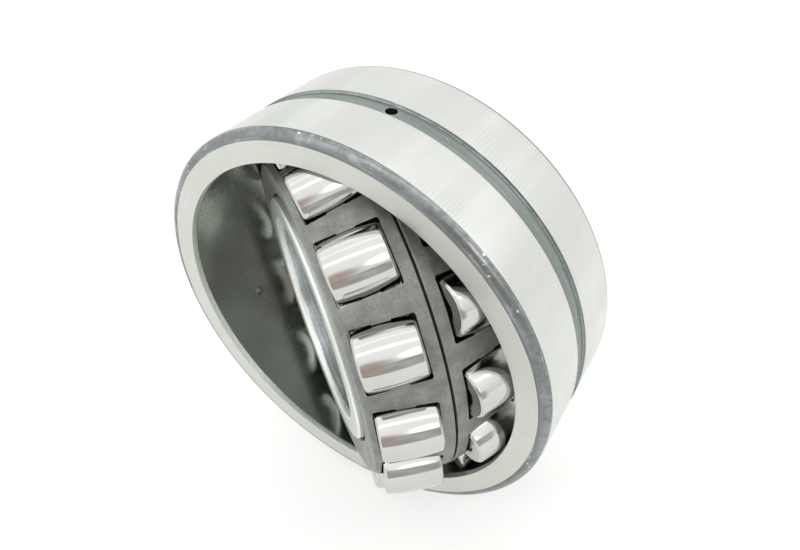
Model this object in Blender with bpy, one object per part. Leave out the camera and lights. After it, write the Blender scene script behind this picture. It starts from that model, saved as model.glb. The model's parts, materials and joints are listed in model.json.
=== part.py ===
"""Double-row spherical roller bearing, 90 x 190 x 64 mm, with its inner assembly swung out of square.

Metres, +Z up. The origin is the centre of the spherical raceway. The outer ring's axis lies along Y with
its front face towards -Y. Everything inside it is modelled square to the outer ring, then turned about the
swivel axis, +Z, by one empty that carries the whole inner assembly.
"""

import math

import bmesh
import bpy
from mathutils import Euler, Matrix, Vector

# Driving dimensions: the bearing's standard size, and what its rollers need.
BORE_DIAMETER = 0.090
OUTER_DIAMETER = 0.190
WIDTH = 0.064
SWING_ANGLE = math.radians(-34.94)
ROLLERS_PER_ROW = 14
RACEWAY_RADIUS = 0.087
CONTACT_ANGLE = math.radians(12.7)
ROLLER_DIAMETER = 0.0236
ROLLER_LENGTH = 0.0230
RUNNING_GAP = 0.0003
FRONT_ROW_PHASE = math.radians(67.4)
BACK_ROW_PHASE = math.radians(60.7)

# Outer ring.
RING_CHAMFER_RADIAL = 0.0041
RING_CHAMFER_AXIAL = 0.0032
RACEWAY_LIP = 0.0029
RACEWAY_LIP_RADIAL = 0.0001
GROOVE_WIDTH = 0.0086
GROOVE_FLOOR_WIDTH = 0.0078
GROOVE_DEPTH = 0.0010
OIL_HOLE_COUNT = 3
OIL_HOLE_DIAMETER = 0.005
OIL_HOLE_PHASE = math.radians(14.2)

# Inner ring.
BORE_CHAMFER_RADIAL = 0.0027
BORE_CHAMFER_AXIAL = 0.0033
INNER_RACEWAY_RADIUS = 0.087
INNER_LAND_HALF_WIDTH = 0.0028
INNER_RACEWAY_END = 0.0260
SHOULDER_RADIUS = 0.0558
SHOULDER_START = 0.0270
SHOULDER_CHAMFER = 0.0008

# Guide ring, between the rows and under the cages.
GUIDE_INNER_RADIUS = 0.0651
GUIDE_OUTER_RADIUS = 0.0743

# Cages: a sloping belt with the windows, a bend, and a side flange.
CAGE_WALL = 0.0024
CAGE_SEAM = 0.0005
BELT_SEAM_RADIUS = 0.0794
BELT_BREAK = (0.07885, 0.0055)
BELT_END = (0.0723, 0.0288)
FLANGE_BEND = (0.0702, 0.0311)
FLANGE_EDGE = (0.0574, 0.0298)
CENTRE_FLANGE_RADIUS = 0.0748
WINDOW_WIDTH = 0.0250
WINDOW_LENGTH = 0.0242
WINDOW_TAB_LENGTH = 0.0066
WINDOW_TAB_HEIGHT = 0.0004
WINDOW_CORNER = 0.0010
WINDOW_CUT_BELOW = 0.0016
WINDOW_CUT_ABOVE = 0.0090

# Roller barrel.
BARREL_RADIUS = 0.97 * RACEWAY_RADIUS
ROLLER_END_CHAMFER = 0.0009

# Facets round each piece.
OUTER_FACETS = 64
INNER_FACETS = 52
GUIDE_FACETS = 40
CAGE_FACETS = 56
ROLLER_FACETS = 12
HOLE_FACETS = 12
RACEWAY_STEPS = 10
CORNER_STEPS = 3
BARREL_STEPS = 4
MERGE_DISTANCE = 0.00001
SMOOTH_ANGLE = math.radians(35)

PITCH = math.tau / ROLLERS_PER_ROW
ROLLER_ORBIT = RACEWAY_RADIUS - RUNNING_GAP - ROLLER_DIAMETER / 2


def material(name, colour, roughness, metallic):
    made = bpy.data.materials.new(name)
    made.use_nodes = True
    shader = made.node_tree.nodes["Principled BSDF"]
    shader.inputs["Base Color"].default_value = (*colour, 1.0)
    shader.inputs["Roughness"].default_value = roughness
    shader.inputs["Metallic"].default_value = metallic
    return made


def arc(centre, radius, first, last, steps):
    """Points of an arc in the (radius, height) plane, both ends included."""
    turned = []
    for step in range(steps + 1):
        angle = first + (last - first) * step / steps
        turned.append((centre[0] + radius * math.cos(angle), centre[1] + radius * math.sin(angle)))
    return turned


def mirrored(half):
    """A half outline with height above zero, followed by its mirror image in reverse order."""
    return half + [(radius, -height) for radius, height in reversed(half)]


def turned_mesh(name, outline, facets):
    """Spins a closed (radius, height) outline about Z."""
    shape = bmesh.new()
    corners = [shape.verts.new((radius, 0, height)) for radius, height in outline]
    edges = [shape.edges.new((a, b)) for a, b in zip(corners, corners[1:] + corners[:1])]
    bmesh.ops.spin(
        shape, geom=corners + edges, axis=(0, 0, 1), angle=math.tau, steps=facets, use_merge=True
    )
    return finished_mesh(name, shape)


def finished_mesh(name, shape):
    bmesh.ops.remove_doubles(shape, verts=shape.verts, dist=MERGE_DISTANCE)
    bmesh.ops.recalc_face_normals(shape, faces=shape.faces)
    mesh = bpy.data.meshes.new(name)
    shape.to_mesh(mesh)
    shape.free()
    mesh.shade_smooth()
    mesh.set_sharp_from_angle(angle=SMOOTH_ANGLE)
    return mesh


def place(name, mesh, finish, parent, matrix):
    piece = bpy.data.objects.new(name, mesh)
    bpy.context.scene.collection.objects.link(piece)
    if finish and not mesh.materials:
        mesh.materials.append(finish)
    piece.parent = parent
    piece.matrix_local = matrix
    return piece


def cut(piece, cutter):
    cutter.hide_render = True
    cutter.display_type = "WIRE"
    boolean = piece.modifiers.new("cut", "BOOLEAN")
    boolean.operation = "DIFFERENCE"
    boolean.solver = "EXACT"
    boolean.object = cutter


def outer_ring_outline():
    half_width = WIDTH / 2
    outer = OUTER_DIAMETER / 2
    lip_height = half_width - RACEWAY_LIP
    lip_angle = math.asin(lip_height / RACEWAY_RADIUS)
    lip_radius = RACEWAY_RADIUS * math.cos(lip_angle)
    rim = []
    for step in range(CORNER_STEPS + 1):
        angle = math.pi / 2 * (1 - step / CORNER_STEPS)
        rim.append(
            (
                outer - RING_CHAMFER_RADIAL * (1 - math.cos(angle)),
                half_width - RING_CHAMFER_AXIAL * (1 - math.sin(angle)),
            )
        )
    outside = [(lip_radius + RACEWAY_LIP_RADIAL, half_width)] + rim
    outside += [(outer, GROOVE_WIDTH / 2), (outer - GROOVE_DEPTH, GROOVE_FLOOR_WIDTH / 2)]
    return mirrored(outside) + arc((0, 0), RACEWAY_RADIUS, -lip_angle, lip_angle, RACEWAY_STEPS)


def oil_hole_cutter():
    shape = bmesh.new()
    depth = OUTER_DIAMETER / 2 - RACEWAY_RADIUS + 0.01
    middle = (OUTER_DIAMETER / 2 + RACEWAY_RADIUS) / 2
    for hole in range(OIL_HOLE_COUNT):
        turn = Matrix.Rotation(-OIL_HOLE_PHASE - math.tau * hole / OIL_HOLE_COUNT, 4, "Z")
        lay = Matrix.Translation((0, middle, 0)) @ Matrix.Rotation(math.pi / 2, 4, "X")
        bmesh.ops.create_cone(
            shape,
            cap_ends=True,
            segments=HOLE_FACETS,
            radius1=OIL_HOLE_DIAMETER / 2,
            radius2=OIL_HOLE_DIAMETER / 2,
            depth=depth,
            matrix=turn @ lay,
        )
    return finished_mesh("oil_hole_cutter", shape)


def inner_ring_outline():
    """Bore, side face, shoulder, then the two concave raceways with a plain land between them."""
    half_width = WIDTH / 2
    bore = BORE_DIAMETER / 2
    contact = ROLLER_ORBIT - ROLLER_DIAMETER / 2 - RUNNING_GAP
    reach = contact + INNER_RACEWAY_RADIUS
    centre = (reach * math.cos(CONTACT_ANGLE), reach * math.sin(CONTACT_ANGLE))
    near = math.pi + math.asin((centre[1] - INNER_RACEWAY_END) / INNER_RACEWAY_RADIUS)
    far = math.pi + math.asin((centre[1] - INNER_LAND_HALF_WIDTH) / INNER_RACEWAY_RADIUS)
    half = []
    for step in range(CORNER_STEPS + 1):
        angle = math.pi / 2 * step / CORNER_STEPS
        radius = bore + BORE_CHAMFER_RADIAL * (1 - math.cos(angle))
        half.append((radius, half_width - BORE_CHAMFER_AXIAL * (1 - math.sin(angle))))
    half += [
        (SHOULDER_RADIUS - SHOULDER_CHAMFER, half_width),
        (SHOULDER_RADIUS, half_width - SHOULDER_CHAMFER),
        (SHOULDER_RADIUS, SHOULDER_START),
    ]
    half += arc(centre, INNER_RACEWAY_RADIUS, near, far, RACEWAY_STEPS // 2)
    return mirrored(half)


def guide_ring_outline():
    """A wedge that fills the space between the rollers' inner end faces."""
    clear = ROLLER_LENGTH / 2 + RUNNING_GAP
    half = []
    for radius in (GUIDE_INNER_RADIUS, GUIDE_OUTER_RADIUS):
        height = (radius * math.sin(CONTACT_ANGLE) - clear) / math.cos(CONTACT_ANGLE)
        half.append((radius, height))
    return mirrored(half)


def offset_corner(before, corner, after, distance):
    """The corner of an outline moved inwards by one wall thickness."""
    first = (Vector(corner) - Vector(before)).normalized()
    second = (Vector(after) - Vector(corner)).normalized()
    normal = (first + second).orthogonal().normalized()
    if normal.x * first.y - normal.y * first.x > 0:
        normal = -normal
    spread = max(0.5, math.cos(first.angle(second) / 2))
    return tuple(Vector(corner) + normal * distance / spread)


def cage_outline():
    """Pressed wall, outside then inside, for the cage whose flange is at +height."""
    seam = (BELT_SEAM_RADIUS, CAGE_SEAM)
    outside = [seam, BELT_BREAK, BELT_END, FLANGE_BEND, FLANGE_EDGE]
    edge_wall = (Vector(FLANGE_EDGE) - Vector(FLANGE_BEND)).orthogonal().normalized() * CAGE_WALL
    if edge_wall.y > 0:
        edge_wall = -edge_wall
    inside = [tuple(Vector(FLANGE_EDGE) + edge_wall)]
    inside.append(offset_corner(BELT_END, FLANGE_BEND, FLANGE_EDGE, CAGE_WALL))
    inside.append(offset_corner(BELT_BREAK, BELT_END, FLANGE_BEND, CAGE_WALL))
    inside.append(offset_corner(seam, BELT_BREAK, BELT_END, CAGE_WALL))
    inside.append((BELT_SEAM_RADIUS - CAGE_WALL, CAGE_SEAM + CAGE_WALL))
    inside.append((CENTRE_FLANGE_RADIUS, CAGE_SEAM + CAGE_WALL))
    inside.append((CENTRE_FLANGE_RADIUS, CAGE_SEAM))
    return outside + inside


def window_outline():
    """Half of a window, in (across, along the roller), with its middle tab and clipped corners."""
    half_width = WINDOW_WIDTH / 2
    half_length = WINDOW_LENGTH / 2
    half_tab = WINDOW_TAB_LENGTH / 2
    tab = half_width - WINDOW_TAB_HEIGHT
    return [
        (half_width - WINDOW_CORNER, -half_length),
        (half_width, -half_length + WINDOW_CORNER),
        (half_width, -half_tab - WINDOW_TAB_HEIGHT),
        (tab, -half_tab),
        (tab, half_tab),
        (half_width, half_tab + WINDOW_TAB_HEIGHT),
        (half_width, half_length - WINDOW_CORNER),
        (half_width - WINDOW_CORNER, half_length),
    ]


def window_cutter(name, phase):
    """One prism for each window, standing on the roller's axis and pointing outwards."""
    shape = bmesh.new()
    half = window_outline()
    outline = half + [(-across, along) for across, along in reversed(half)]
    for number in range(ROLLERS_PER_ROW):
        seat = roller_seat(phase + PITCH * number, front=True)
        floor = [
            shape.verts.new(seat @ Vector((across, -WINDOW_CUT_BELOW, along)))
            for across, along in outline
        ]
        face = shape.faces.new(floor)
        rise = seat.to_3x3() @ Vector((0, WINDOW_CUT_BELOW + WINDOW_CUT_ABOVE, 0))
        lifted = bmesh.ops.extrude_face_region(shape, geom=[face], use_keep_orig=True)
        tops = [item for item in lifted["geom"] if isinstance(item, bmesh.types.BMVert)]
        bmesh.ops.translate(shape, verts=tops, vec=rise)
    return finished_mesh(name, shape)


def roller_outline():
    """Half of the barrel's outline, from its end face to its middle plane and back, closed on the axis."""
    half_length = ROLLER_LENGTH / 2
    barrel_end = half_length - ROLLER_END_CHAMFER
    swell = ROLLER_DIAMETER / 2 - BARREL_RADIUS
    side = []
    for step in range(BARREL_STEPS + 1):
        height = barrel_end * (1 - 2 * step / BARREL_STEPS)
        side.append((swell + math.sqrt(BARREL_RADIUS**2 - height**2), height))
    face_radius = side[0][0] - ROLLER_END_CHAMFER
    return [(face_radius, half_length)] + side + [(face_radius, -half_length)]


def roller_mesh():
    shape = bmesh.new()
    corners = [shape.verts.new((radius, 0, height)) for radius, height in roller_outline()]
    edges = [shape.edges.new((a, b)) for a, b in zip(corners, corners[1:])]
    bmesh.ops.spin(
        shape,
        geom=corners + edges,
        axis=(0, 0, 1),
        angle=math.tau,
        steps=ROLLER_FACETS,
        use_merge=True,
    )
    bmesh.ops.remove_doubles(shape, verts=shape.verts, dist=MERGE_DISTANCE)
    rims = [edge for edge in shape.edges if edge.is_boundary]
    bmesh.ops.holes_fill(shape, edges=rims, sides=ROLLER_FACETS)
    return finished_mesh("roller", shape)


def roller_seat(angle, front):
    """Where a roller lies in its row: +Z along its own axis, away from the bearing's centre plane."""
    tilt = CONTACT_ANGLE if front else math.pi - CONTACT_ANGLE
    side = 1 if front else -1
    centre = Vector(
        (0, ROLLER_ORBIT * math.cos(CONTACT_ANGLE), side * ROLLER_ORBIT * math.sin(CONTACT_ANGLE))
    )
    lean = Matrix.Translation(centre) @ Matrix.Rotation(tilt, 4, "X")
    return Matrix.Rotation(-angle, 4, "Z") @ lean


def carrier(name, turn):
    """An empty at the bearing's centre whose +Z is the front side of the ring it carries."""
    empty = bpy.data.objects.new(name, None)
    bpy.context.scene.collection.objects.link(empty)
    upright = Euler((math.pi / 2, 0, 0)).to_matrix().to_4x4()
    empty.matrix_world = Matrix.Rotation(turn, 4, "Z") @ upright
    return empty


def main():
    for old in list(bpy.data.objects):
        bpy.data.objects.remove(old, do_unlink=True)

    ground_steel = material("ground_steel", (0.72, 0.73, 0.71), 0.28, 1.0)
    inner_steel = material("inner_steel", (0.62, 0.64, 0.60), 0.25, 1.0)
    roller_steel = material("roller_steel", (0.80, 0.80, 0.79), 0.08, 1.0)
    cage_steel = material("cage_steel", (0.30, 0.31, 0.29), 0.55, 0.6)
    guide_steel = material("guide_steel", (0.24, 0.25, 0.24), 0.50, 0.8)

    housing_side = carrier("outer_ring_axis", 0)
    swung = carrier("inner_assembly_axis", SWING_ANGLE)
    square = Matrix.Identity(4)
    reversed_side = Matrix.Rotation(math.pi, 4, "Y")

    outer_mesh = turned_mesh("outer_ring", outer_ring_outline(), OUTER_FACETS)
    outer_ring = place("outer_ring", outer_mesh, ground_steel, housing_side, square)
    holes = place("oil_hole_cutter", oil_hole_cutter(), None, housing_side, square)
    cut(outer_ring, holes)

    inner_mesh = turned_mesh("inner_ring", inner_ring_outline(), INNER_FACETS)
    place("inner_ring", inner_mesh, inner_steel, swung, square)
    guide_mesh = turned_mesh("guide_ring", guide_ring_outline(), GUIDE_FACETS)
    place("guide_ring", guide_mesh, guide_steel, swung, square)

    # The back cage is the front one turned over about Y, which also reverses the way its windows count.
    rows = (("front", FRONT_ROW_PHASE, square), ("back", -BACK_ROW_PHASE, reversed_side))
    for row, window_phase, turn_over in rows:
        cage_mesh = turned_mesh("cage_" + row, cage_outline(), CAGE_FACETS)
        cage = place("cage_" + row, cage_mesh, cage_steel, swung, turn_over)
        windows = window_cutter("window_cutter_" + row, window_phase)
        cut(cage, place("window_cutter_" + row, windows, None, swung, turn_over))

    barrel = roller_mesh()
    for row, phase in (("front", FRONT_ROW_PHASE), ("back", BACK_ROW_PHASE)):
        for number in range(ROLLERS_PER_ROW):
            seat = roller_seat(phase + PITCH * number, row == "front")
            place(f"roller_{row}_{number + 1:02d}", barrel, roller_steel, swung, seat)


main()
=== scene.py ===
import json
import math

import bmesh
import bpy
from mathutils import Matrix, Vector

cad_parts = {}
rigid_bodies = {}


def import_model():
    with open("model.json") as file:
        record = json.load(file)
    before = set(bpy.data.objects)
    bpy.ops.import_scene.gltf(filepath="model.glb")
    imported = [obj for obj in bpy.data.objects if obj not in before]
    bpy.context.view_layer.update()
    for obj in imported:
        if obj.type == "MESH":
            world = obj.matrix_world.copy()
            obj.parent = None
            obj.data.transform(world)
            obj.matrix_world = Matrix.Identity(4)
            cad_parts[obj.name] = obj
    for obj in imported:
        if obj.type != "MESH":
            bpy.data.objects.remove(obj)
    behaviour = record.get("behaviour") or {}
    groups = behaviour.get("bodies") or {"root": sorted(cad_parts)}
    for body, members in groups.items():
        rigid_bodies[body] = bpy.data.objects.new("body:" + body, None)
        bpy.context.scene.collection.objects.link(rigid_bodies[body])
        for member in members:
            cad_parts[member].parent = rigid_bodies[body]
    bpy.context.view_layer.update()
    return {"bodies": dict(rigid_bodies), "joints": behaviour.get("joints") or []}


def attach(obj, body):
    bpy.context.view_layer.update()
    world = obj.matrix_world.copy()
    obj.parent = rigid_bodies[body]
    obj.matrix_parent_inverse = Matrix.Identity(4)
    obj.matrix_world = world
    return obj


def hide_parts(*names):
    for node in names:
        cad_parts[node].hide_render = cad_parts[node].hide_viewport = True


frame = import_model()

# Sizes of the rings, in metres. Heights are measured along a ring's axis from its middle.
OUTER_RADIUS = 0.095
HALF_WIDTH = 0.032
BORE_RADIUS = 0.045
RACEWAY_RADIUS = 0.087
RIM_RADIAL = 0.0041
RIM_AXIAL = 0.0032
LIP_DEPTH = 0.0029
LIP_RISE = 0.0001
GROOVE_HALF_WIDTH = 0.0043
GROOVE_FLOOR_HALF_WIDTH = 0.0039
GROOVE_DEPTH = 0.0010
OIL_HOLES = 3
OIL_HOLE_RADIUS = 0.0024
OIL_HOLE_PHASE = math.radians(14.2)
CONTACT_ANGLE = math.radians(12.7)
BORE_EDGE_RADIAL = 0.0027
BORE_EDGE_AXIAL = 0.0033
SHOULDER_RADIUS = 0.0558
SHOULDER_CHAMFER = 0.0009
SHOULDER_FOOT = 0.0271
INNER_RACEWAY_HEIGHTS = (0.0260, 0.0028)
GUIDE_INNER_RADIUS = 0.0651
GUIDE_OUTER_RADIUS = 0.0743
RUNNING_GAP = 0.0003

# Heights of rows of points that only divide a straight band.
LAND_ROWS = (0.0270, 0.0200, 0.0120, 0.0065)
GROOVE_ROW = 0.0012
BORE_ROW = 0.0100

# Sizes of a roller and of its window.
ROLLER_RADIUS = 0.0118
ROLLER_HALF_LENGTH = 0.0115
ROLLER_ORBIT = RACEWAY_RADIUS - RUNNING_GAP - ROLLER_RADIUS
ROLLER_EDGE = 0.0009
BARREL_RADIUS = 0.97 * RACEWAY_RADIUS
DIMPLE_RADIUS = 0.0056
DIMPLE_DEPTH = 0.0007
DIMPLE_WALL = 0.0010
DIMPLE_CENTRE = 0.00001
ROLLER_TURN_STEP = 2.4
WINDOW_HALF_WIDTH = 0.0125
WINDOW_HALF_LENGTH = 0.0121
WINDOW_TAB_HALF_LENGTH = 0.0033
WINDOW_TAB_HEIGHT = 0.00045
WINDOW_FLOOR = -0.0016
WINDOW_REACH = 0.0106

# Sizes of a cage's pressed wall.
CAGE_WALL = 0.0024
CAGE_SEAM = 0.0005
BELT_SEAM_RADIUS = 0.0794
BELT_BREAK = (0.07885, 0.0055)
BELT_END = (0.0723, 0.0288)
FLANGE_BEND = (0.0702, 0.0311)
FLANGE_EDGE = (0.0574, 0.0298)
CENTRE_FLANGE_RADIUS = 0.0748
WINDOW_BEVEL = 0.00022

# How finely the pieces are divided, and the angles that count as an edge.
RING_STEPS = 288
CAGE_STEPS = 224
ROLLER_STEPS = 72
FILLET_STEPS = 4
EDGE_STEPS = 9
RACEWAY_STEPS = 56
INNER_RACEWAY_STEPS = 22
BARREL_STEPS = 14
DRILL_STEPS = 32
SUPPORT = 0.00025
MERGE = 0.000002
SHARP = math.radians(38)
WORN_ANGLE = math.radians(12)

FRONT = Vector((0, -1, 0))
UP = Vector((0, 0, 1))
joints = {joint["name"]: joint for joint in frame["joints"]}
ASSEMBLY_FRONT = Vector(joints["inner_ring_spin"]["axis"]).normalized()


# ---------------------------------------------------------------- outlines


def arc(centre, radius, first, last, steps):
    """Corners without fillets along an arc in the (radius, height) plane."""
    points = []
    for step in range(steps + 1):
        angle = first + (last - first) * step / steps
        across, along = radius * math.cos(angle), radius * math.sin(angle)
        points.append((centre[0] + across, centre[1] + along, 0))
    return points


def mirrored(half):
    """A half outline, then its mirror image below height zero in reverse order."""
    return half + [(radius, -height, fillet) for radius, height, fillet in reversed(half)]


def rounded(corners, closed=True, support=SUPPORT):
    """Outline points from (radius, height, fillet) corners. Support points hold each fillet's arc."""
    outline = []
    for index, (radius, height, fillet) in enumerate(corners):
        here = Vector((radius, height))
        ends = index in (0, len(corners) - 1) and not closed
        if fillet == 0 or ends:
            outline.append(here)
            continue
        back = (Vector(corners[index - 1][:2]) - here).normalized()
        ahead = (Vector(corners[(index + 1) % len(corners)][:2]) - here).normalized()
        half = back.angle(ahead) / 2
        reach = fillet / math.tan(half)
        centre = here + (back + ahead).normalized() * fillet / math.sin(half)
        start = here + back * reach - centre
        end = here + ahead * reach - centre
        if support:
            outline.append(centre + start + back * support)
        for step in range(FILLET_STEPS + 1):
            share = step / FILLET_STEPS
            direction = start.lerp(end, share).normalized()
            outline.append(centre + direction * fillet)
        if support:
            outline.append(centre + end + ahead * support)
    return outline


def turn(outline, steps, closed=True):
    """Spins an outline about Z into a bmesh with outward faces."""
    shape = bmesh.new()
    points = [shape.verts.new((radius, 0, height)) for radius, height in outline]
    following = points[1:] + points[:1] if closed else points[1:]
    edges = [shape.edges.new(pair) for pair in zip(points, following)]
    bmesh.ops.spin(
        shape, geom=points + edges, axis=(0, 0, 1), angle=math.tau, steps=steps, use_merge=True
    )
    bmesh.ops.remove_doubles(shape, verts=shape.verts, dist=MERGE)
    bmesh.ops.recalc_face_normals(shape, faces=shape.faces)
    return shape


# ---------------------------------------------------------------- finishing a piece


def seat(axis, up, centre=(0, 0, 0)):
    """A frame whose +Z is axis and whose +Y is up."""
    across = up.cross(axis)
    columns = Matrix((across, up, axis)).transposed().to_4x4()
    return Matrix.Translation(centre) @ columns


def mesh_of(name, shape):
    mesh = bpy.data.meshes.new(name)
    shape.to_mesh(mesh)
    shape.free()
    return mesh


def dressed(mesh, finishes):
    """Gives the mesh its material slots."""
    for material in finishes:
        mesh.materials.append(material)
    return mesh


def carved(mesh, shape, finishes, bevel=0.0):
    """The mesh with a shape taken out. Cut walls get the last finish, and bevel rounds sharp edges."""
    for face in shape.faces:
        face.material_index = len(finishes) - 1
    body = bpy.data.objects.new("body", mesh)
    cutter = bpy.data.objects.new("cutter", dressed(mesh_of("cutter", shape), finishes))
    for helper in (body, cutter):
        bpy.context.scene.collection.objects.link(helper)
    cut = body.modifiers.new("cut", "BOOLEAN")
    cut.operation = "DIFFERENCE"
    cut.solver = "EXACT"
    cut.object = cutter
    if bevel:
        soften = body.modifiers.new("soften", "BEVEL")
        soften.width = bevel
        soften.segments = 2
        soften.limit_method = "ANGLE"
        soften.angle_limit = SHARP
    bpy.context.view_layer.update()
    evaluated = body.evaluated_get(bpy.context.evaluated_depsgraph_get())
    result = bpy.data.meshes.new_from_object(evaluated)
    for helper in (body, cutter):
        bpy.data.objects.remove(helper, do_unlink=True)
    return result


def zone_of(radius, height, zones):
    """The index of the first zone whose test holds."""
    for index, inside in enumerate(zones):
        if inside(radius, abs(height)):
            return index
    return len(zones) - 1


def paint_zones(mesh, zones):
    """Gives each face the material slot of its zone."""
    for face in mesh.polygons:
        radius = math.hypot(face.center.x, face.center.y)
        face.material_index = zone_of(radius, face.center.z, zones)


def record_place_and_wear(mesh):
    """Stores each point's place in the piece's own frame, and how sharply the surface turns there."""
    places, wear = [], []
    shape = bmesh.new()
    shape.from_mesh(mesh)
    for vertex in shape.verts:
        places.extend(vertex.co)
        sharpest = max((edge.calc_face_angle(0) for edge in vertex.link_edges), default=0)
        wear.append(min(1, sharpest / WORN_ANGLE))
    shape.free()
    mesh.attributes.new("own_place", "FLOAT_VECTOR", "POINT").data.foreach_set("vector", places)
    mesh.attributes.new("worn_edge", "FLOAT", "POINT").data.foreach_set("value", wear)


def install(name, mesh, where, body):
    """Shades the mesh, puts it in place and lets it ride on its body in the node's stead."""
    record_place_and_wear(mesh)
    mesh.transform(where)
    mesh.shade_smooth()
    mesh.set_sharp_from_angle(angle=SHARP)
    piece = bpy.data.objects.new(name, mesh)
    bpy.context.scene.collection.objects.link(piece)
    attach(piece, body)
    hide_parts(body)


# ---------------------------------------------------------------- node groups


def add(tree, kind, inputs=(), **settings):
    """One shader node, with its inputs set by name or number from values or from other nodes' sockets."""
    node = tree.nodes.new("ShaderNode" + kind)
    for name, value in settings.items():
        setattr(node, name, value)
    for name, value in dict(inputs).items():
        if isinstance(value, bpy.types.NodeSocket):
            tree.links.new(value, node.inputs[name])
        else:
            node.inputs[name].default_value = value
    return node


def math_node(tree, operation, first, second=0.0, third=0.0):
    return add(tree, "Math", {0: first, 1: second, 2: third}, operation=operation).outputs[0]


def ramp(tree, value, low, high, bottom=0.0, top=1.0):
    """Maps value from low..high to bottom..top, smoothly and clamped."""
    inputs = {0: value, 1: low, 2: high, 3: bottom, 4: top}
    return add(tree, "MapRange", inputs, interpolation_type="SMOOTHSTEP").outputs[0]


def noise(tree, vector, scale, detail=3.0, roughness=0.5):
    inputs = {"Vector": vector, "Scale": scale, "Detail": detail, "Roughness": roughness}
    return add(tree, "TexNoise", inputs).outputs[0]


def group(name, inputs, outputs):
    """An empty node group with float or vector sockets, and its two end nodes."""
    tree = bpy.data.node_groups.new(name, "ShaderNodeTree")
    for label, kind, default in inputs:
        socket = tree.interface.new_socket(label, in_out="INPUT", socket_type="NodeSocket" + kind)
        if kind == "Float":
            socket.default_value = default
    for label in outputs:
        tree.interface.new_socket(label, in_out="OUTPUT", socket_type="NodeSocketFloat")
    return tree, tree.nodes.new("NodeGroupInput"), tree.nodes.new("NodeGroupOutput")


def ring_vector(tree, place, around, across):
    """Place as a vector that runs slowly round the axis and quickly along the outline."""
    parts = add(tree, "SeparateXYZ", {0: place})
    flat = add(tree, "CombineXYZ", {0: parts.outputs[0], 1: parts.outputs[1]})
    radius = add(tree, "VectorMath", {0: flat.outputs[0]}, operation="LENGTH").outputs["Value"]
    unit = add(tree, "VectorMath", {0: flat.outputs[0]}, operation="NORMALIZE").outputs[0]
    slow = add(tree, "VectorMath", {0: unit, "Scale": around}, operation="SCALE").outputs[0]
    along = math_node(tree, "MULTIPLY_ADD", parts.outputs[2], 1.7, radius)
    fast = math_node(tree, "MULTIPLY", along, across)
    lift = add(tree, "CombineXYZ", {2: fast}).outputs[0]
    return add(tree, "VectorMath", {0: slow, 1: lift}, operation="ADD").outputs[0]


def make_turning_group():
    """Machining marks that follow the tool round the axis: fine lines, and broken brighter streaks."""
    tree, given, out = group(
        "turning_marks",
        [("Place", "Vector", None), ("Fineness", "Float", 6000.0), ("Around", "Float", 1.5)],
        ["Lines", "Streaks"],
    )
    place, fineness, around = (given.outputs[index] for index in range(3))
    vector = ring_vector(tree, place, around, fineness)
    lines = noise(tree, vector, 1.0, 2.0, 0.6)
    coarse = ring_vector(tree, place, math_node(tree, "MULTIPLY", around, 4.0), 900.0)
    streaks = noise(tree, coarse, 1.0, 4.0, 0.65)
    tree.links.new(ramp(tree, lines, 0.3, 0.7), out.inputs[0])
    tree.links.new(ramp(tree, streaks, 0.55, 0.75), out.inputs[1])
    return tree


def make_chatter_group():
    """Faint bars along the axis from the grinding wheel: a fine set in patches, and a few broad."""
    tree, given, out = group(
        "grinding_chatter",
        [("Place", "Vector", None), ("Bars", "Float", 372.0)],
        ["Fine", "Broad"],
    )
    place, bars = given.outputs[0], given.outputs[1]
    parts = add(tree, "SeparateXYZ", {0: place})
    angle = math_node(tree, "ARCTAN2", parts.outputs[1], parts.outputs[0])
    drift = ring_vector(tree, place, 3.2, 22.0)
    wander = noise(tree, ring_vector(tree, place, 6.0, 8.0), 1.0, 2.0)
    uneven = math_node(tree, "MULTIPLY", wander, 14.0)
    wave = math_node(tree, "SINE", math_node(tree, "MULTIPLY_ADD", angle, bars, uneven))
    patch = ramp(tree, noise(tree, drift, 1.0, 1.0), 0.50, 0.70)
    tree.links.new(math_node(tree, "MULTIPLY", wave, patch), out.inputs[0])
    wide = ring_vector(tree, place, 7.0, 3.0)
    tree.links.new(ramp(tree, noise(tree, wide, 1.0, 2.0), 0.38, 0.62), out.inputs[1])
    return tree


def make_wear_group():
    """Handling marks: bright worn edges, small nicks and a soft film of oil and prints."""
    tree, given, out = group(
        "handling_wear",
        [("Place", "Vector", None), ("Edge", "Float", 0.0), ("Nicks", "Float", 0.5)],
        ["Worn", "Nicked", "Film"],
    )
    place, edge, nicks = (given.outputs[index] for index in range(3))
    broken = noise(tree, place, 420.0, 4.0, 0.7)
    worn = math_node(tree, "MULTIPLY", ramp(tree, edge, 0.45, 0.95), ramp(tree, broken, 0.35, 0.62))
    tree.links.new(worn, out.inputs[0])
    ragged = add(tree, "TexNoise", {"Vector": place, "Scale": 900.0, "Detail": 2.0}).outputs["Color"]
    shift = {0: ragged, 1: (0.0013, 0.0013, 0.0013), 2: place}
    shifted = add(tree, "VectorMath", shift, operation="MULTIPLY_ADD").outputs[0]
    dents = add(tree, "TexVoronoi", {"Vector": shifted, "Scale": 400.0, "Randomness": 1.0})
    chance = ramp(tree, noise(tree, place, 90.0, 2.0), 0.54, 0.62)
    spot = ramp(tree, dents.outputs["Distance"], 0.06, 0.26, 1.0, 0.0)
    hit = math_node(tree, "MULTIPLY", math_node(tree, "MULTIPLY", spot, chance), nicks)
    tree.links.new(hit, out.inputs[1])
    tree.links.new(ramp(tree, noise(tree, place, 38.0, 3.0, 0.6), 0.35, 0.68), out.inputs[2])
    return tree


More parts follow.
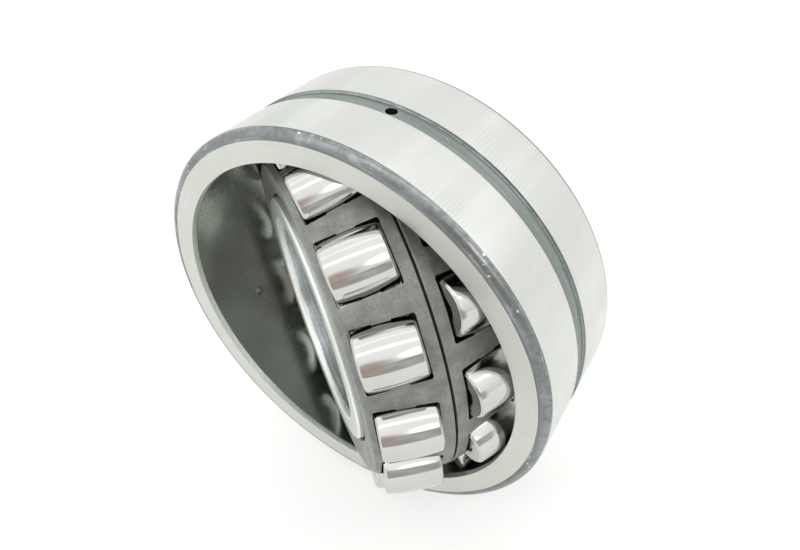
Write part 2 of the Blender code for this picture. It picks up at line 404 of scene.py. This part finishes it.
def make_grain_group():
    """A blasted, phosphated skin: fine pits over a soft mottle."""
    tree, given, out = group(
        "blasted_grain", [("Place", "Vector", None), ("Size", "Float", 1400.0)], ["Pits", "Mottle"]
    )
    place, size = given.outputs[0], given.outputs[1]
    tree.links.new(noise(tree, place, size, 5.0, 0.75), out.inputs[0])
    tree.links.new(ramp(tree, noise(tree, place, 160.0, 4.0, 0.6), 0.3, 0.7), out.inputs[1])
    return tree


GROUPS = {
    "turning": make_turning_group(),
    "chatter": make_chatter_group(),
    "wear": make_wear_group(),
    "grain": make_grain_group(),
}


# ---------------------------------------------------------------- materials

FRESH_METAL = (0.93, 0.94, 0.93)


def use(tree, name, inputs):
    """Places a shared group in a material and returns its outputs."""
    node = tree.nodes.new("ShaderNodeGroup")
    node.node_tree = GROUPS[name]
    for label, value in inputs.items():
        if isinstance(value, bpy.types.NodeSocket):
            tree.links.new(value, node.inputs[label])
        else:
            node.inputs[label].default_value = value
    return node.outputs


def tint(tree, factor, first, second):
    """Mixes two colours, or a colour and a socket, by a factor."""
    node = tree.nodes.new("ShaderNodeMix")
    node.data_type = "RGBA"
    for index, value in ((0, factor), (6, first), (7, second)):
        if isinstance(value, bpy.types.NodeSocket):
            tree.links.new(value, node.inputs[index])
        else:
            node.inputs[index].default_value = value if index == 0 else (*value, 1.0)
    return node.outputs[2]


def shader_base(name, metallic):
    """A new material with its shader, and each point's own place."""
    material = bpy.data.materials.new(name)
    material.use_nodes = True
    tree = material.node_tree
    shader = tree.nodes["Principled BSDF"]
    shader.inputs["Metallic"].default_value = metallic
    place = add(tree, "Attribute", attribute_name="own_place").outputs["Vector"]
    return material, tree, shader, place


def worn_edge(tree):
    return add(tree, "Attribute", attribute_name="worn_edge").outputs["Fac"]


def bumped(tree, shader, height, distance):
    bump = add(tree, "Bump", {"Height": height, "Distance": distance, "Strength": 1.0})
    tree.links.new(bump.outputs[0], shader.inputs["Normal"])


def machined_steel(
    name, colour, dark, bright, *, roughness, lines, fineness, nicks, film, chatter=0.0, wear=0.7
):
    """Steel with marks round its axis. lines is how much they show, chatter the same for axial bars."""
    material, tree, shader, place = shader_base(name, 1.0)
    marks = use(tree, "turning", {"Place": place, "Fineness": fineness})
    worn = use(tree, "wear", {"Place": place, "Edge": worn_edge(tree), "Nicks": nicks})
    shade = math_node(tree, "MULTIPLY", marks["Lines"], lines)
    tone = tint(tree, shade, colour, dark)
    tone = tint(tree, math_node(tree, "MULTIPLY", marks["Streaks"], lines), tone, bright)
    tone = tint(tree, math_node(tree, "MULTIPLY", worn["Film"], film * 3), tone, dark)
    height = math_node(tree, "MULTIPLY", marks["Lines"], 0.5)
    if chatter:
        bars = use(tree, "chatter", {"Place": place})
        tone = tint(tree, math_node(tree, "MULTIPLY", bars["Fine"], chatter), tone, dark)
        tone = tint(tree, math_node(tree, "MULTIPLY", bars["Broad"], chatter * 0.6), tone, dark)
        height = math_node(tree, "MULTIPLY_ADD", bars["Fine"], 0.6 * chatter, height)
    tone = tint(tree, math_node(tree, "MULTIPLY", worn["Worn"], wear), tone, bright)
    tone = tint(tree, worn["Nicked"], tone, FRESH_METAL)
    tree.links.new(tone, shader.inputs["Base Color"])
    rough = math_node(tree, "MULTIPLY_ADD", worn["Film"], film, roughness)
    rough = math_node(tree, "MULTIPLY_ADD", marks["Lines"], 0.06 * lines, rough)
    rough = math_node(tree, "MULTIPLY_ADD", worn["Worn"], -0.3 * roughness, rough)
    tree.links.new(rough, shader.inputs["Roughness"])
    height = math_node(tree, "MULTIPLY_ADD", worn["Nicked"], -3.0, height)
    bumped(tree, shader, height, 0.00001 + 0.00002 * lines)
    return material


def polished_steel(name, colour, dark, *, roughness, film):
    """Superfinished steel: a mirror with the faintest lapping lines and a film of prints."""
    material, tree, shader, place = shader_base(name, 1.0)
    marks = use(tree, "turning", {"Place": place, "Fineness": 1600.0, "Around": 2.5})
    worn = use(tree, "wear", {"Place": place})
    tone = tint(tree, math_node(tree, "MULTIPLY", worn["Film"], 0.35), colour, dark)
    tone = tint(tree, math_node(tree, "MULTIPLY", marks["Streaks"], 0.08), tone, dark)
    tree.links.new(tone, shader.inputs["Base Color"])
    rough = math_node(tree, "MULTIPLY_ADD", worn["Film"], film, roughness)
    rough = math_node(tree, "MULTIPLY_ADD", marks["Streaks"], 0.04, rough)
    tree.links.new(rough, shader.inputs["Roughness"])
    bumped(tree, shader, marks["Lines"], 0.000002)
    return material


def pressed_cage_steel(name):
    """Pressed steel with a blasted, phosphated skin, rubbed brighter along the windows' edges."""
    material, tree, shader, place = shader_base(name, 0.55)
    grain = use(tree, "grain", {"Place": place})
    worn = use(tree, "wear", {"Place": place, "Edge": worn_edge(tree), "Nicks": 0.25})
    marks = use(tree, "turning", {"Place": place, "Fineness": 2600.0})
    tone = tint(tree, grain["Mottle"], (0.19, 0.198, 0.187), (0.27, 0.28, 0.264))
    tone = tint(tree, ramp(tree, grain["Pits"], 0.45, 0.75, 0.0, 0.7), tone, (0.10, 0.105, 0.10))
    tone = tint(tree, math_node(tree, "MULTIPLY", worn["Worn"], 0.25), tone, (0.42, 0.43, 0.41))
    tone = tint(tree, worn["Nicked"], tone, (0.55, 0.56, 0.54))
    tone = tint(tree, math_node(tree, "MULTIPLY", marks["Streaks"], 0.10), tone, (0.46, 0.47, 0.45))
    tree.links.new(tone, shader.inputs["Base Color"])
    rough = math_node(tree, "MULTIPLY_ADD", worn["Film"], -0.10, 0.50)
    rough = math_node(tree, "MULTIPLY_ADD", worn["Worn"], -0.14, rough)
    tree.links.new(rough, shader.inputs["Roughness"])
    height = math_node(tree, "MULTIPLY_ADD", worn["Nicked"], -2.0, grain["Pits"])
    bumped(tree, shader, height, 0.00005)
    return material


def make_materials():
    return {
        "land": machined_steel(
            "ground_land_steel", (0.70, 0.715, 0.685), (0.53, 0.545, 0.525), (0.90, 0.91, 0.89),
            roughness=0.30, lines=0.10, fineness=1500.0, nicks=0.12, film=0.05, chatter=0.50, wear=0.8,
        ),
        "groove": machined_steel(
            "turned_groove_steel", (0.30, 0.34, 0.325), (0.16, 0.19, 0.18), (0.52, 0.56, 0.55),
            roughness=0.34, lines=0.75, fineness=1300.0, nicks=0.2, film=0.08, wear=0.6,
        ),
        "rim": machined_steel(
            "heat_blued_rim_steel", (0.28, 0.305, 0.30), (0.10, 0.115, 0.12), (0.74, 0.76, 0.77),
            roughness=0.27, lines=0.62, fineness=600.0, nicks=1.0, film=0.14, wear=0.15,
        ),
        "side": machined_steel(
            "ground_side_steel", (0.635, 0.645, 0.60), (0.54, 0.55, 0.51), (0.74, 0.75, 0.72),
            roughness=0.40, lines=0.30, fineness=2600.0, nicks=0.12, film=0.06, wear=0.6,
        ),
        "lip": machined_steel(
            "turned_lip_steel", (0.84, 0.88, 0.84), (0.62, 0.66, 0.63), (0.92, 0.94, 0.92),
            roughness=0.50, lines=0.4, fineness=2000.0, nicks=0.3, film=0.06,
        ),
        "raceway": polished_steel(
            "lapped_raceway_steel", (0.59, 0.62, 0.57), (0.47, 0.50, 0.45), roughness=0.21, film=0.08
        ),
        "inner_raceway": polished_steel(
            "lapped_inner_steel", (0.52, 0.54, 0.50), (0.42, 0.44, 0.40), roughness=0.14, film=0.07
        ),
        "bore": machined_steel(
            "ground_bore_steel", (0.81, 0.85, 0.85), (0.40, 0.44, 0.45), (0.92, 0.95, 0.96),
            roughness=0.19, lines=0.70, fineness=700.0, nicks=0.15, film=0.08,
        ),
        "roller": polished_steel(
            "superfinished_roller_steel", (0.60, 0.602, 0.59), (0.50, 0.50, 0.49),
            roughness=0.07, film=0.06,
        ),
        "roller_end": machined_steel(
            "ground_roller_end_steel", (0.55, 0.56, 0.54), (0.44, 0.45, 0.43), (0.85, 0.86, 0.85),
            roughness=0.22, lines=0.5, fineness=2400.0, nicks=0.3, film=0.05,
        ),
        "guide": machined_steel(
            "oiled_guide_steel", (0.22, 0.23, 0.215), (0.15, 0.16, 0.15), (0.42, 0.43, 0.41),
            roughness=0.38, lines=0.6, fineness=1600.0, nicks=0.3, film=0.1,
        ),
        # The oil holes' cut walls: painted shade, a dark steel so that the holes read dim.
        "drilled": machined_steel(
            "hole_wall_painted_shade_steel", (0.12, 0.13, 0.125), (0.07, 0.075, 0.07), (0.30, 0.31, 0.30),
            roughness=0.50, lines=0.5, fineness=1600.0, nicks=0.3, film=0.1, wear=0.3,
        ),
        "cage": pressed_cage_steel("phosphated_cage_steel"),
        # The windows' cut walls: painted shade, a near-black steel so that the rollers reflect dark
        # beside the windows.
        "window_wall_painted_shade": machined_steel(
            "window_wall_painted_shade_steel", (0.060, 0.063, 0.058), (0.03, 0.032, 0.03), (0.20, 0.21, 0.20),
            roughness=0.50, lines=0.6, fineness=1600.0, nicks=0.2, film=0.1, wear=0.15,
        ),
    }


# ---------------------------------------------------------------- rings


def edge_curve(radius, radial, axial):
    """Corners of a ring's rounded edge, from its side face to its round face."""
    curve = []
    for step in range(1, EDGE_STEPS):
        angle = math.pi / 2 * (1 - step / EDGE_STEPS)
        inward, down = radial * (1 - math.cos(angle)), axial * (1 - math.sin(angle))
        curve.append((radius - inward, HALF_WIDTH - down, 0))
    return curve


def outer_ring_shape():
    lip_height = HALF_WIDTH - LIP_DEPTH
    lip_angle = math.asin(lip_height / RACEWAY_RADIUS)
    lip_radius = RACEWAY_RADIUS * math.cos(lip_angle)
    half = [(lip_radius + LIP_RISE, HALF_WIDTH, 0.00022)]
    half.append((OUTER_RADIUS - RIM_RADIAL, HALF_WIDTH, 0.0003))
    half += edge_curve(OUTER_RADIUS, RIM_RADIAL, RIM_AXIAL)
    half.append((OUTER_RADIUS, HALF_WIDTH - RIM_AXIAL, 0))
    half += [(OUTER_RADIUS, height, 0) for height in LAND_ROWS]
    half.append((OUTER_RADIUS, GROOVE_HALF_WIDTH, 0.00015))
    half.append((OUTER_RADIUS - GROOVE_DEPTH, GROOVE_FLOOR_HALF_WIDTH, 0.0003))
    half.append((OUTER_RADIUS - GROOVE_DEPTH, GROOVE_ROW, 0))
    inside = arc((0, 0), RACEWAY_RADIUS, -lip_angle, lip_angle, RACEWAY_STEPS)
    return turn(rounded(mirrored(half) + inside), RING_STEPS)


# Where each of the outer ring's finishes lies, in the order of OUTER_FINISHES. The small
# amounts keep a fillet's faces in the zone they belong to.
OUTER_ZONES = (
    lambda radius, height: radius > OUTER_RADIUS - 0.00002 and height > GROOVE_HALF_WIDTH,
    lambda radius, height: height < GROOVE_HALF_WIDTH + 0.0004 and radius > RACEWAY_RADIUS + 0.003,
    lambda radius, height: radius > OUTER_RADIUS - RIM_RADIAL + 0.0001,
    lambda radius, height: height > HALF_WIDTH - 0.00012,
    lambda radius, height: height > HALF_WIDTH - LIP_DEPTH + 0.00002,
    lambda radius, height: True,
)
# The last finish, for the oil holes' cut walls, is the dark painted shade.
OUTER_FINISHES = ("land", "groove", "rim", "side", "lip", "raceway", "drilled")


def oil_holes():
    """Three holes drilled through the wall at the groove."""
    shape = bmesh.new()
    low, high = RACEWAY_RADIUS - 0.004, OUTER_RADIUS + 0.002
    laid = Matrix.Translation((0, (low + high) / 2, 0)) @ Matrix.Rotation(-math.pi / 2, 4, "X")
    for hole in range(OIL_HOLES):
        turned = Matrix.Rotation(-OIL_HOLE_PHASE - math.tau * hole / OIL_HOLES, 4, "Z")
        bmesh.ops.create_cone(
            shape, cap_ends=True, segments=DRILL_STEPS, radius1=OIL_HOLE_RADIUS,
            radius2=OIL_HOLE_RADIUS, depth=high - low, matrix=turned @ laid,
        )
    return shape


def make_outer_ring(materials):
    finishes = [materials[name] for name in OUTER_FINISHES]
    mesh = dressed(mesh_of("outer_ring_visual", outer_ring_shape()), finishes)
    paint_zones(mesh, OUTER_ZONES)
    mesh = carved(mesh, oil_holes(), finishes)
    install("outer_ring_ground", mesh, seat(FRONT, UP), "outer_ring")


def make_inner_ring(materials):
    reach = ROLLER_ORBIT - ROLLER_RADIUS - RUNNING_GAP + RACEWAY_RADIUS
    centre = (reach * math.cos(CONTACT_ANGLE), reach * math.sin(CONTACT_ANGLE))
    near, far = (
        math.pi + math.asin((centre[1] - height) / RACEWAY_RADIUS) for height in INNER_RACEWAY_HEIGHTS
    )
    bore_top = HALF_WIDTH - BORE_EDGE_AXIAL
    half = [(BORE_RADIUS, BORE_ROW, 0), (BORE_RADIUS, bore_top, 0)]
    half += reversed(edge_curve(BORE_RADIUS, -BORE_EDGE_RADIAL, BORE_EDGE_AXIAL))
    half.append((BORE_RADIUS + BORE_EDGE_RADIAL, HALF_WIDTH, 0.0003))
    half.append((SHOULDER_RADIUS - SHOULDER_CHAMFER, HALF_WIDTH, 0.0002))
    half.append((SHOULDER_RADIUS, HALF_WIDTH - SHOULDER_CHAMFER, 0.0003))
    half.append((SHOULDER_RADIUS, SHOULDER_FOOT, 0.0005))
    half += arc(centre, RACEWAY_RADIUS, near, far, INNER_RACEWAY_STEPS)
    mesh = mesh_of("inner_ring_visual", turn(rounded(mirrored(half)), RING_STEPS))
    zones = (
        lambda radius, height: radius < BORE_RADIUS + 0.0001 and height < bore_top + 0.0004,
        lambda radius, height: height > HALF_WIDTH - 0.0001,
        lambda radius, height: height < 0.0261 and radius > SHOULDER_RADIUS,
        lambda radius, height: True,
    )
    paint_zones(mesh, zones)
    dressed(mesh, [materials[name] for name in ("bore", "side", "inner_raceway", "lip")])
    install("inner_ring_ground", mesh, seat(ASSEMBLY_FRONT, UP), "inner_ring")


def make_guide_ring(materials):
    clear = ROLLER_HALF_LENGTH + RUNNING_GAP
    half = []
    for radius in (GUIDE_INNER_RADIUS, GUIDE_OUTER_RADIUS):
        height = (radius * math.sin(CONTACT_ANGLE) - clear) / math.cos(CONTACT_ANGLE)
        half.append((radius, height, 0.0004))
    mesh = mesh_of("guide_ring_visual", turn(rounded(mirrored(half)), RING_STEPS))
    dressed(mesh, [materials["guide"]])
    install("guide_ring_turned", mesh, seat(ASSEMBLY_FRONT, UP), "guide_ring")


# ---------------------------------------------------------------- rollers and cages


def roller_seat(name):
    """A roller's frame from its joint: +Z along its axis, +Y away from the bearing's centre."""
    joint = joints[name + "_spin"]
    centre = Vector(joint["pos_m"])
    return seat(Vector(joint["axis"]).normalized(), centre.normalized(), centre)


def roller_names(row):
    return sorted(name for name in frame["bodies"] if name.startswith("roller_" + row))


def roller_shape():
    """A barrel with rounded ends and a shallow turned dimple in each end face."""
    swell = ROLLER_RADIUS - BARREL_RADIUS
    barrel_end = ROLLER_HALF_LENGTH - ROLLER_EDGE
    end_radius = swell + math.sqrt(BARREL_RADIUS**2 - barrel_end**2)
    floor = ROLLER_HALF_LENGTH - DIMPLE_DEPTH
    half = [(DIMPLE_CENTRE, floor, 0), (DIMPLE_RADIUS - DIMPLE_WALL, floor, 0.0009)]
    half.append((DIMPLE_RADIUS, ROLLER_HALF_LENGTH, 0.0004))
    half.append((end_radius - ROLLER_EDGE, ROLLER_HALF_LENGTH, 0.0004))
    half.append((end_radius - 0.00005, ROLLER_HALF_LENGTH - 0.0008, 0.0005))
    for step in range(BARREL_STEPS // 2 + 1):
        height = (barrel_end - 0.0006) * (1 - 2 * step / BARREL_STEPS)
        half.append((swell + math.sqrt(BARREL_RADIUS**2 - height**2), height, 0))
    outline = rounded(mirrored(half), closed=False)
    shape = turn(outline, ROLLER_STEPS, closed=False)
    rims = [edge for edge in shape.edges if edge.is_boundary]
    bmesh.ops.holes_fill(shape, edges=rims, sides=ROLLER_STEPS)
    bmesh.ops.recalc_face_normals(shape, faces=shape.faces)
    return shape


def make_rollers(materials):
    template = mesh_of("roller_visual", roller_shape())
    zones = (
        lambda radius, height: radius > ROLLER_RADIUS - 0.0013 and height < ROLLER_HALF_LENGTH - 0.0006,
        lambda radius, height: True,
    )
    paint_zones(template, zones)
    dressed(template, [materials["roller"], materials["roller_end"]])
    for row in ("front", "back"):
        for number, name in enumerate(roller_names(row)):
            mesh = template.copy()
            mesh.transform(Matrix.Rotation(ROLLER_TURN_STEP * number, 4, "Z"))
            install(name + "_barrel", mesh, roller_seat(name), name)


def offset_corner(before, corner, after):
    """The corner of the cage's outside, moved inwards by one wall."""
    first = (Vector(corner) - Vector(before)).normalized()
    second = (Vector(after) - Vector(corner)).normalized()
    normal = (first + second).orthogonal().normalized()
    if normal.x * first.y - normal.y * first.x > 0:
        normal = -normal
    return Vector(corner) + normal * CAGE_WALL / math.cos(first.angle(second) / 2)


def cage_outline():
    """A cage's pressed wall: belt, rolled end flange and centre flange."""
    seam = (BELT_SEAM_RADIUS, CAGE_SEAM)
    flange_wall = (Vector(FLANGE_EDGE) - Vector(FLANGE_BEND)).orthogonal().normalized() * CAGE_WALL
    if flange_wall.y > 0:
        flange_wall = -flange_wall
    outside = [
        (*seam, 0.0003),
        (*BELT_BREAK, 0.004),
        (*BELT_END, 0.0016),
        (*FLANGE_BEND, 0.0018),
        (*FLANGE_EDGE, 0.0006),
    ]
    inside = [
        (*(Vector(FLANGE_EDGE) + flange_wall), 0.0006),
        (*offset_corner(BELT_END, FLANGE_BEND, FLANGE_EDGE), 0.0004),
        (*offset_corner(BELT_BREAK, BELT_END, FLANGE_BEND), 0.0004),
        (*offset_corner(seam, BELT_BREAK, BELT_END), 0.002),
        (BELT_SEAM_RADIUS - CAGE_WALL, CAGE_SEAM + CAGE_WALL, 0.0005),
        (CENTRE_FLANGE_RADIUS, CAGE_SEAM + CAGE_WALL, 0.0004),
        (CENTRE_FLANGE_RADIUS, CAGE_SEAM, 0.0004),
    ]
    return rounded(outside + inside)


def window_corners():
    """Half of the punched window, in (across, along), with its tab and small corner radii."""
    tab = WINDOW_HALF_WIDTH - WINDOW_TAB_HEIGHT
    return [
        (0, -WINDOW_HALF_LENGTH, 0),
        (WINDOW_HALF_WIDTH, -WINDOW_HALF_LENGTH, 0.0009),
        (WINDOW_HALF_WIDTH, -WINDOW_TAB_HALF_LENGTH - WINDOW_TAB_HEIGHT, 0.0002),
        (tab, -WINDOW_TAB_HALF_LENGTH, 0.0002),
        (tab, WINDOW_TAB_HALF_LENGTH, 0.0002),
        (WINDOW_HALF_WIDTH, WINDOW_TAB_HALF_LENGTH + WINDOW_TAB_HEIGHT, 0.0002),
        (WINDOW_HALF_WIDTH, WINDOW_HALF_LENGTH, 0.0009),
        (0, WINDOW_HALF_LENGTH, 0),
    ]


def cage_windows(row, cage_seat):
    """The punch for every window of a row, each square to its roller."""
    shape = bmesh.new()
    half = [tuple(point) for point in rounded(window_corners(), closed=False, support=0)]
    outline = half + [(-across, along) for across, along in reversed(half[1:-1])]
    for name in roller_names(row):
        where = cage_seat.inverted() @ roller_seat(name)
        corners = [Vector((across, WINDOW_FLOOR, along)) for across, along in outline]
        face = shape.faces.new([shape.verts.new(where @ corner) for corner in corners])
        lifted = bmesh.ops.extrude_face_region(shape, geom=[face], use_keep_orig=True)
        tops = [item for item in lifted["geom"] if isinstance(item, bmesh.types.BMVert)]
        bmesh.ops.translate(shape, verts=tops, vec=where.to_3x3() @ Vector((0, WINDOW_REACH, 0)))
    bmesh.ops.recalc_face_normals(shape, faces=shape.faces)
    return shape


def make_cages(materials):
    for row, axis in (("front", ASSEMBLY_FRONT), ("back", -ASSEMBLY_FRONT)):
        where = seat(axis, UP)
        # The second finish goes on the windows' cut walls, as painted shade.
        finishes = [materials["cage"], materials["window_wall_painted_shade"]]
        mesh = dressed(mesh_of("cage_visual", turn(cage_outline(), CAGE_STEPS)), finishes)
        mesh = carved(mesh, cage_windows(row, where), finishes, bevel=WINDOW_BEVEL)
        node = "cage_" + row
        install(node + "_pressed", mesh, where, node)


# ---------------------------------------------------------------- stage

CAMERA_PLACE = Vector((0.15139, -0.17229, 0.17825))
CAMERA_TILT = math.radians(53.163)
CAMERA_ROLL = math.radians(7.793)
CAMERA_TURN = math.radians(32.686)
CAMERA_LENS = 28.615
SENSOR_WIDTH = 36.0
CAMERA_AZIMUTH = 41.3

# The white table. It glows a little, which keeps shadows faint.
FLOOR_SIZE = 8.0
FLOOR_GAP = 0.0002
FLOOR_COLOUR = (0.46, 0.462, 0.452, 1)
FLOOR_GLOW = 0.52

# The tent's cloth: its colour at the floor and overhead, the height that counts as overhead,
# and the plain white that the camera sees.
TENT_LOW = (0.99, 1.01, 0.98)
TENT_HIGH = (1.34, 1.35, 1.32)
TENT_TOP = 0.8
TENT_SEEN = (1.0, 1.0, 0.995)

# Tubes behind the cloth: angle over the top from the camera's side, inner and outer half width, light.
TUBES = ((67, 1.5, 7.5, 2.1), (99, 1.0, 6.0, 1.6), (124, 0.8, 4.5, 1.5), (139, 1.0, 8.0, 0.90))

# Patches of the tent: azimuth, elevation, inner and outer half angles, colour.
TENT_PATCHES = (
    (26.0, 16.0, 2.0, 19.0, (0.66, 0.50, 0.45)),
    (57.0, 27.0, 4.0, 15.0, (2.5, 2.5, 2.48)),
    (120.0, -6.0, 6.0, 30.0, (0.78, 0.81, 0.76)),
)

# The dim card on the camera's side, which shows only in reflections. One end of it is reddish.
CARD_DISTANCE = 0.30
CARD_LOW, CARD_HIGH = -0.045, 0.085
CARD_WIDTH = 0.44
CARD_BLEND = (-0.10, 0.03)
CARD_DARK = (0.45, 0.455, 0.435)
CARD_PALE = (0.66, 0.665, 0.64)
CARD_REDDISH = (0.58, 0.42, 0.37)
CARD_REDDISH_SHARE = 0.85


def make_camera():
    data = bpy.data.cameras.new("camera")
    data.lens = CAMERA_LENS
    data.sensor_width = SENSOR_WIDTH
    data.clip_start = 0.01
    camera = bpy.data.objects.new("camera", data)
    camera.location = CAMERA_PLACE
    camera.rotation_euler = (CAMERA_TILT, CAMERA_ROLL, CAMERA_TURN)
    bpy.context.scene.collection.objects.link(camera)
    bpy.context.scene.camera = camera


def make_floor():
    shape = bmesh.new()
    bmesh.ops.create_grid(shape, x_segments=1, y_segments=1, size=FLOOR_SIZE / 2)
    bmesh.ops.translate(shape, verts=shape.verts, vec=(0, 0, -OUTER_RADIUS - FLOOR_GAP))
    floor = bpy.data.objects.new("floor", mesh_of("floor", shape))
    bpy.context.scene.collection.objects.link(floor)
    material = bpy.data.materials.new("white_table")
    material.use_nodes = True
    shader = material.node_tree.nodes["Principled BSDF"]
    shader.inputs["Base Color"].default_value = FLOOR_COLOUR
    shader.inputs["Roughness"].default_value = 0.8
    shader.inputs["Specular IOR Level"].default_value = 0.2
    shader.inputs["Emission Color"].default_value = (1, 1, 0.995, 1)
    shader.inputs["Emission Strength"].default_value = FLOOR_GLOW
    floor.data.materials.append(material)


def facing(azimuth, elevation):
    """The direction seen from the bearing, with azimuth from the front towards the right."""
    turn_angle, rise = math.radians(azimuth), math.radians(elevation)
    flat = math.cos(rise)
    return Vector((math.sin(turn_angle) * flat, -math.cos(turn_angle) * flat, math.sin(rise)))


def make_card():
    """A dim card on the camera's side: it gives the rollers their dark bands and casts no shadow."""
    shape = bmesh.new()
    sideways = facing(CAMERA_AZIMUTH + 90, 0)
    across = sideways * CARD_WIDTH / 2
    centre = facing(CAMERA_AZIMUTH, 0) * CARD_DISTANCE
    places = [(-across, CARD_LOW), (across, CARD_LOW), (across, CARD_HIGH), (-across, CARD_HIGH)]
    corners = [shape.verts.new(centre + side + UP * height) for side, height in places]
    shape.faces.new(corners)
    card = bpy.data.objects.new("dim_card", mesh_of("dim_card", shape))
    bpy.context.scene.collection.objects.link(card)
    material = bpy.data.materials.new("dim_card")
    material.use_nodes = True
    tree = material.node_tree
    shader = tree.nodes["Principled BSDF"]
    shader.inputs["Base Color"].default_value = (0, 0, 0, 1)
    shader.inputs["Specular IOR Level"].default_value = 0
    shader.inputs["Emission Strength"].default_value = 1
    place = add(tree, "TexCoord").outputs["Object"]
    cloudy = ramp(tree, noise(tree, place, 14.0, 1.0), 0.3, 0.7)
    tone = tint(tree, cloudy, CARD_DARK, CARD_PALE)
    left = ramp(tree, towards(tree, place, sideways), *CARD_BLEND, CARD_REDDISH_SHARE, 0.0)
    tree.links.new(tint(tree, left, tone, CARD_REDDISH), shader.inputs["Emission Color"])
    card.data.materials.append(material)
    card.visible_camera = False
    card.visible_diffuse = False
    card.visible_shadow = False


def towards(tree, direction, axis):
    """How far a direction or a place lies along an axis."""
    node = add(tree, "VectorMath", {0: direction, 1: tuple(axis)}, operation="DOT_PRODUCT")
    return node.outputs["Value"]


def tent_patch(tree, direction, azimuth, elevation, inner, outer):
    """How far a direction lies inside a soft round patch of the tent."""
    near = towards(tree, direction, facing(azimuth, elevation))
    return ramp(tree, near, math.cos(math.radians(outer)), math.cos(math.radians(inner)))


def tent_tube(tree, direction, angle, inner, outer):
    """How far a direction lies inside a tube that crosses the tent's roof."""
    off = math_node(tree, "ABSOLUTE", towards(tree, direction, facing(CAMERA_AZIMUTH, angle - 90)))
    return ramp(tree, off, math.sin(math.radians(inner)), math.sin(math.radians(outer)), 1.0, 0.0)


def make_world():
    """A white light tent with tubes above it. The camera itself sees plain white."""
    world = bpy.data.worlds.new("light_tent")
    world.use_nodes = True
    tree = world.node_tree
    background = tree.nodes["Background"]
    direction = add(tree, "TexCoord").outputs["Generated"]
    height = add(tree, "SeparateXYZ", {0: direction}).outputs[2]
    tone = tint(tree, ramp(tree, height, 0.0, TENT_TOP), TENT_LOW, TENT_HIGH)
    for angle, inner, outer, light in TUBES:
        colour = (light, light, 0.99 * light)
        tone = tint(tree, tent_tube(tree, direction, angle, inner, outer), tone, colour)
    for azimuth, elevation, inner, outer, colour in TENT_PATCHES:
        tone = tint(tree, tent_patch(tree, direction, azimuth, elevation, inner, outer), tone, colour)
    seen = add(tree, "LightPath").outputs["Is Camera Ray"]
    tree.links.new(tint(tree, seen, tone, TENT_SEEN), background.inputs[0])
    bpy.context.scene.world = world


def main():
    bpy.context.scene.view_settings.view_transform = "Standard"
    materials = make_materials()
    make_outer_ring(materials)
    make_inner_ring(materials)
    make_guide_ring(materials)
    make_cages(materials)
    make_rollers(materials)
    make_camera()
    make_floor()
    make_card()
    make_world()


main()
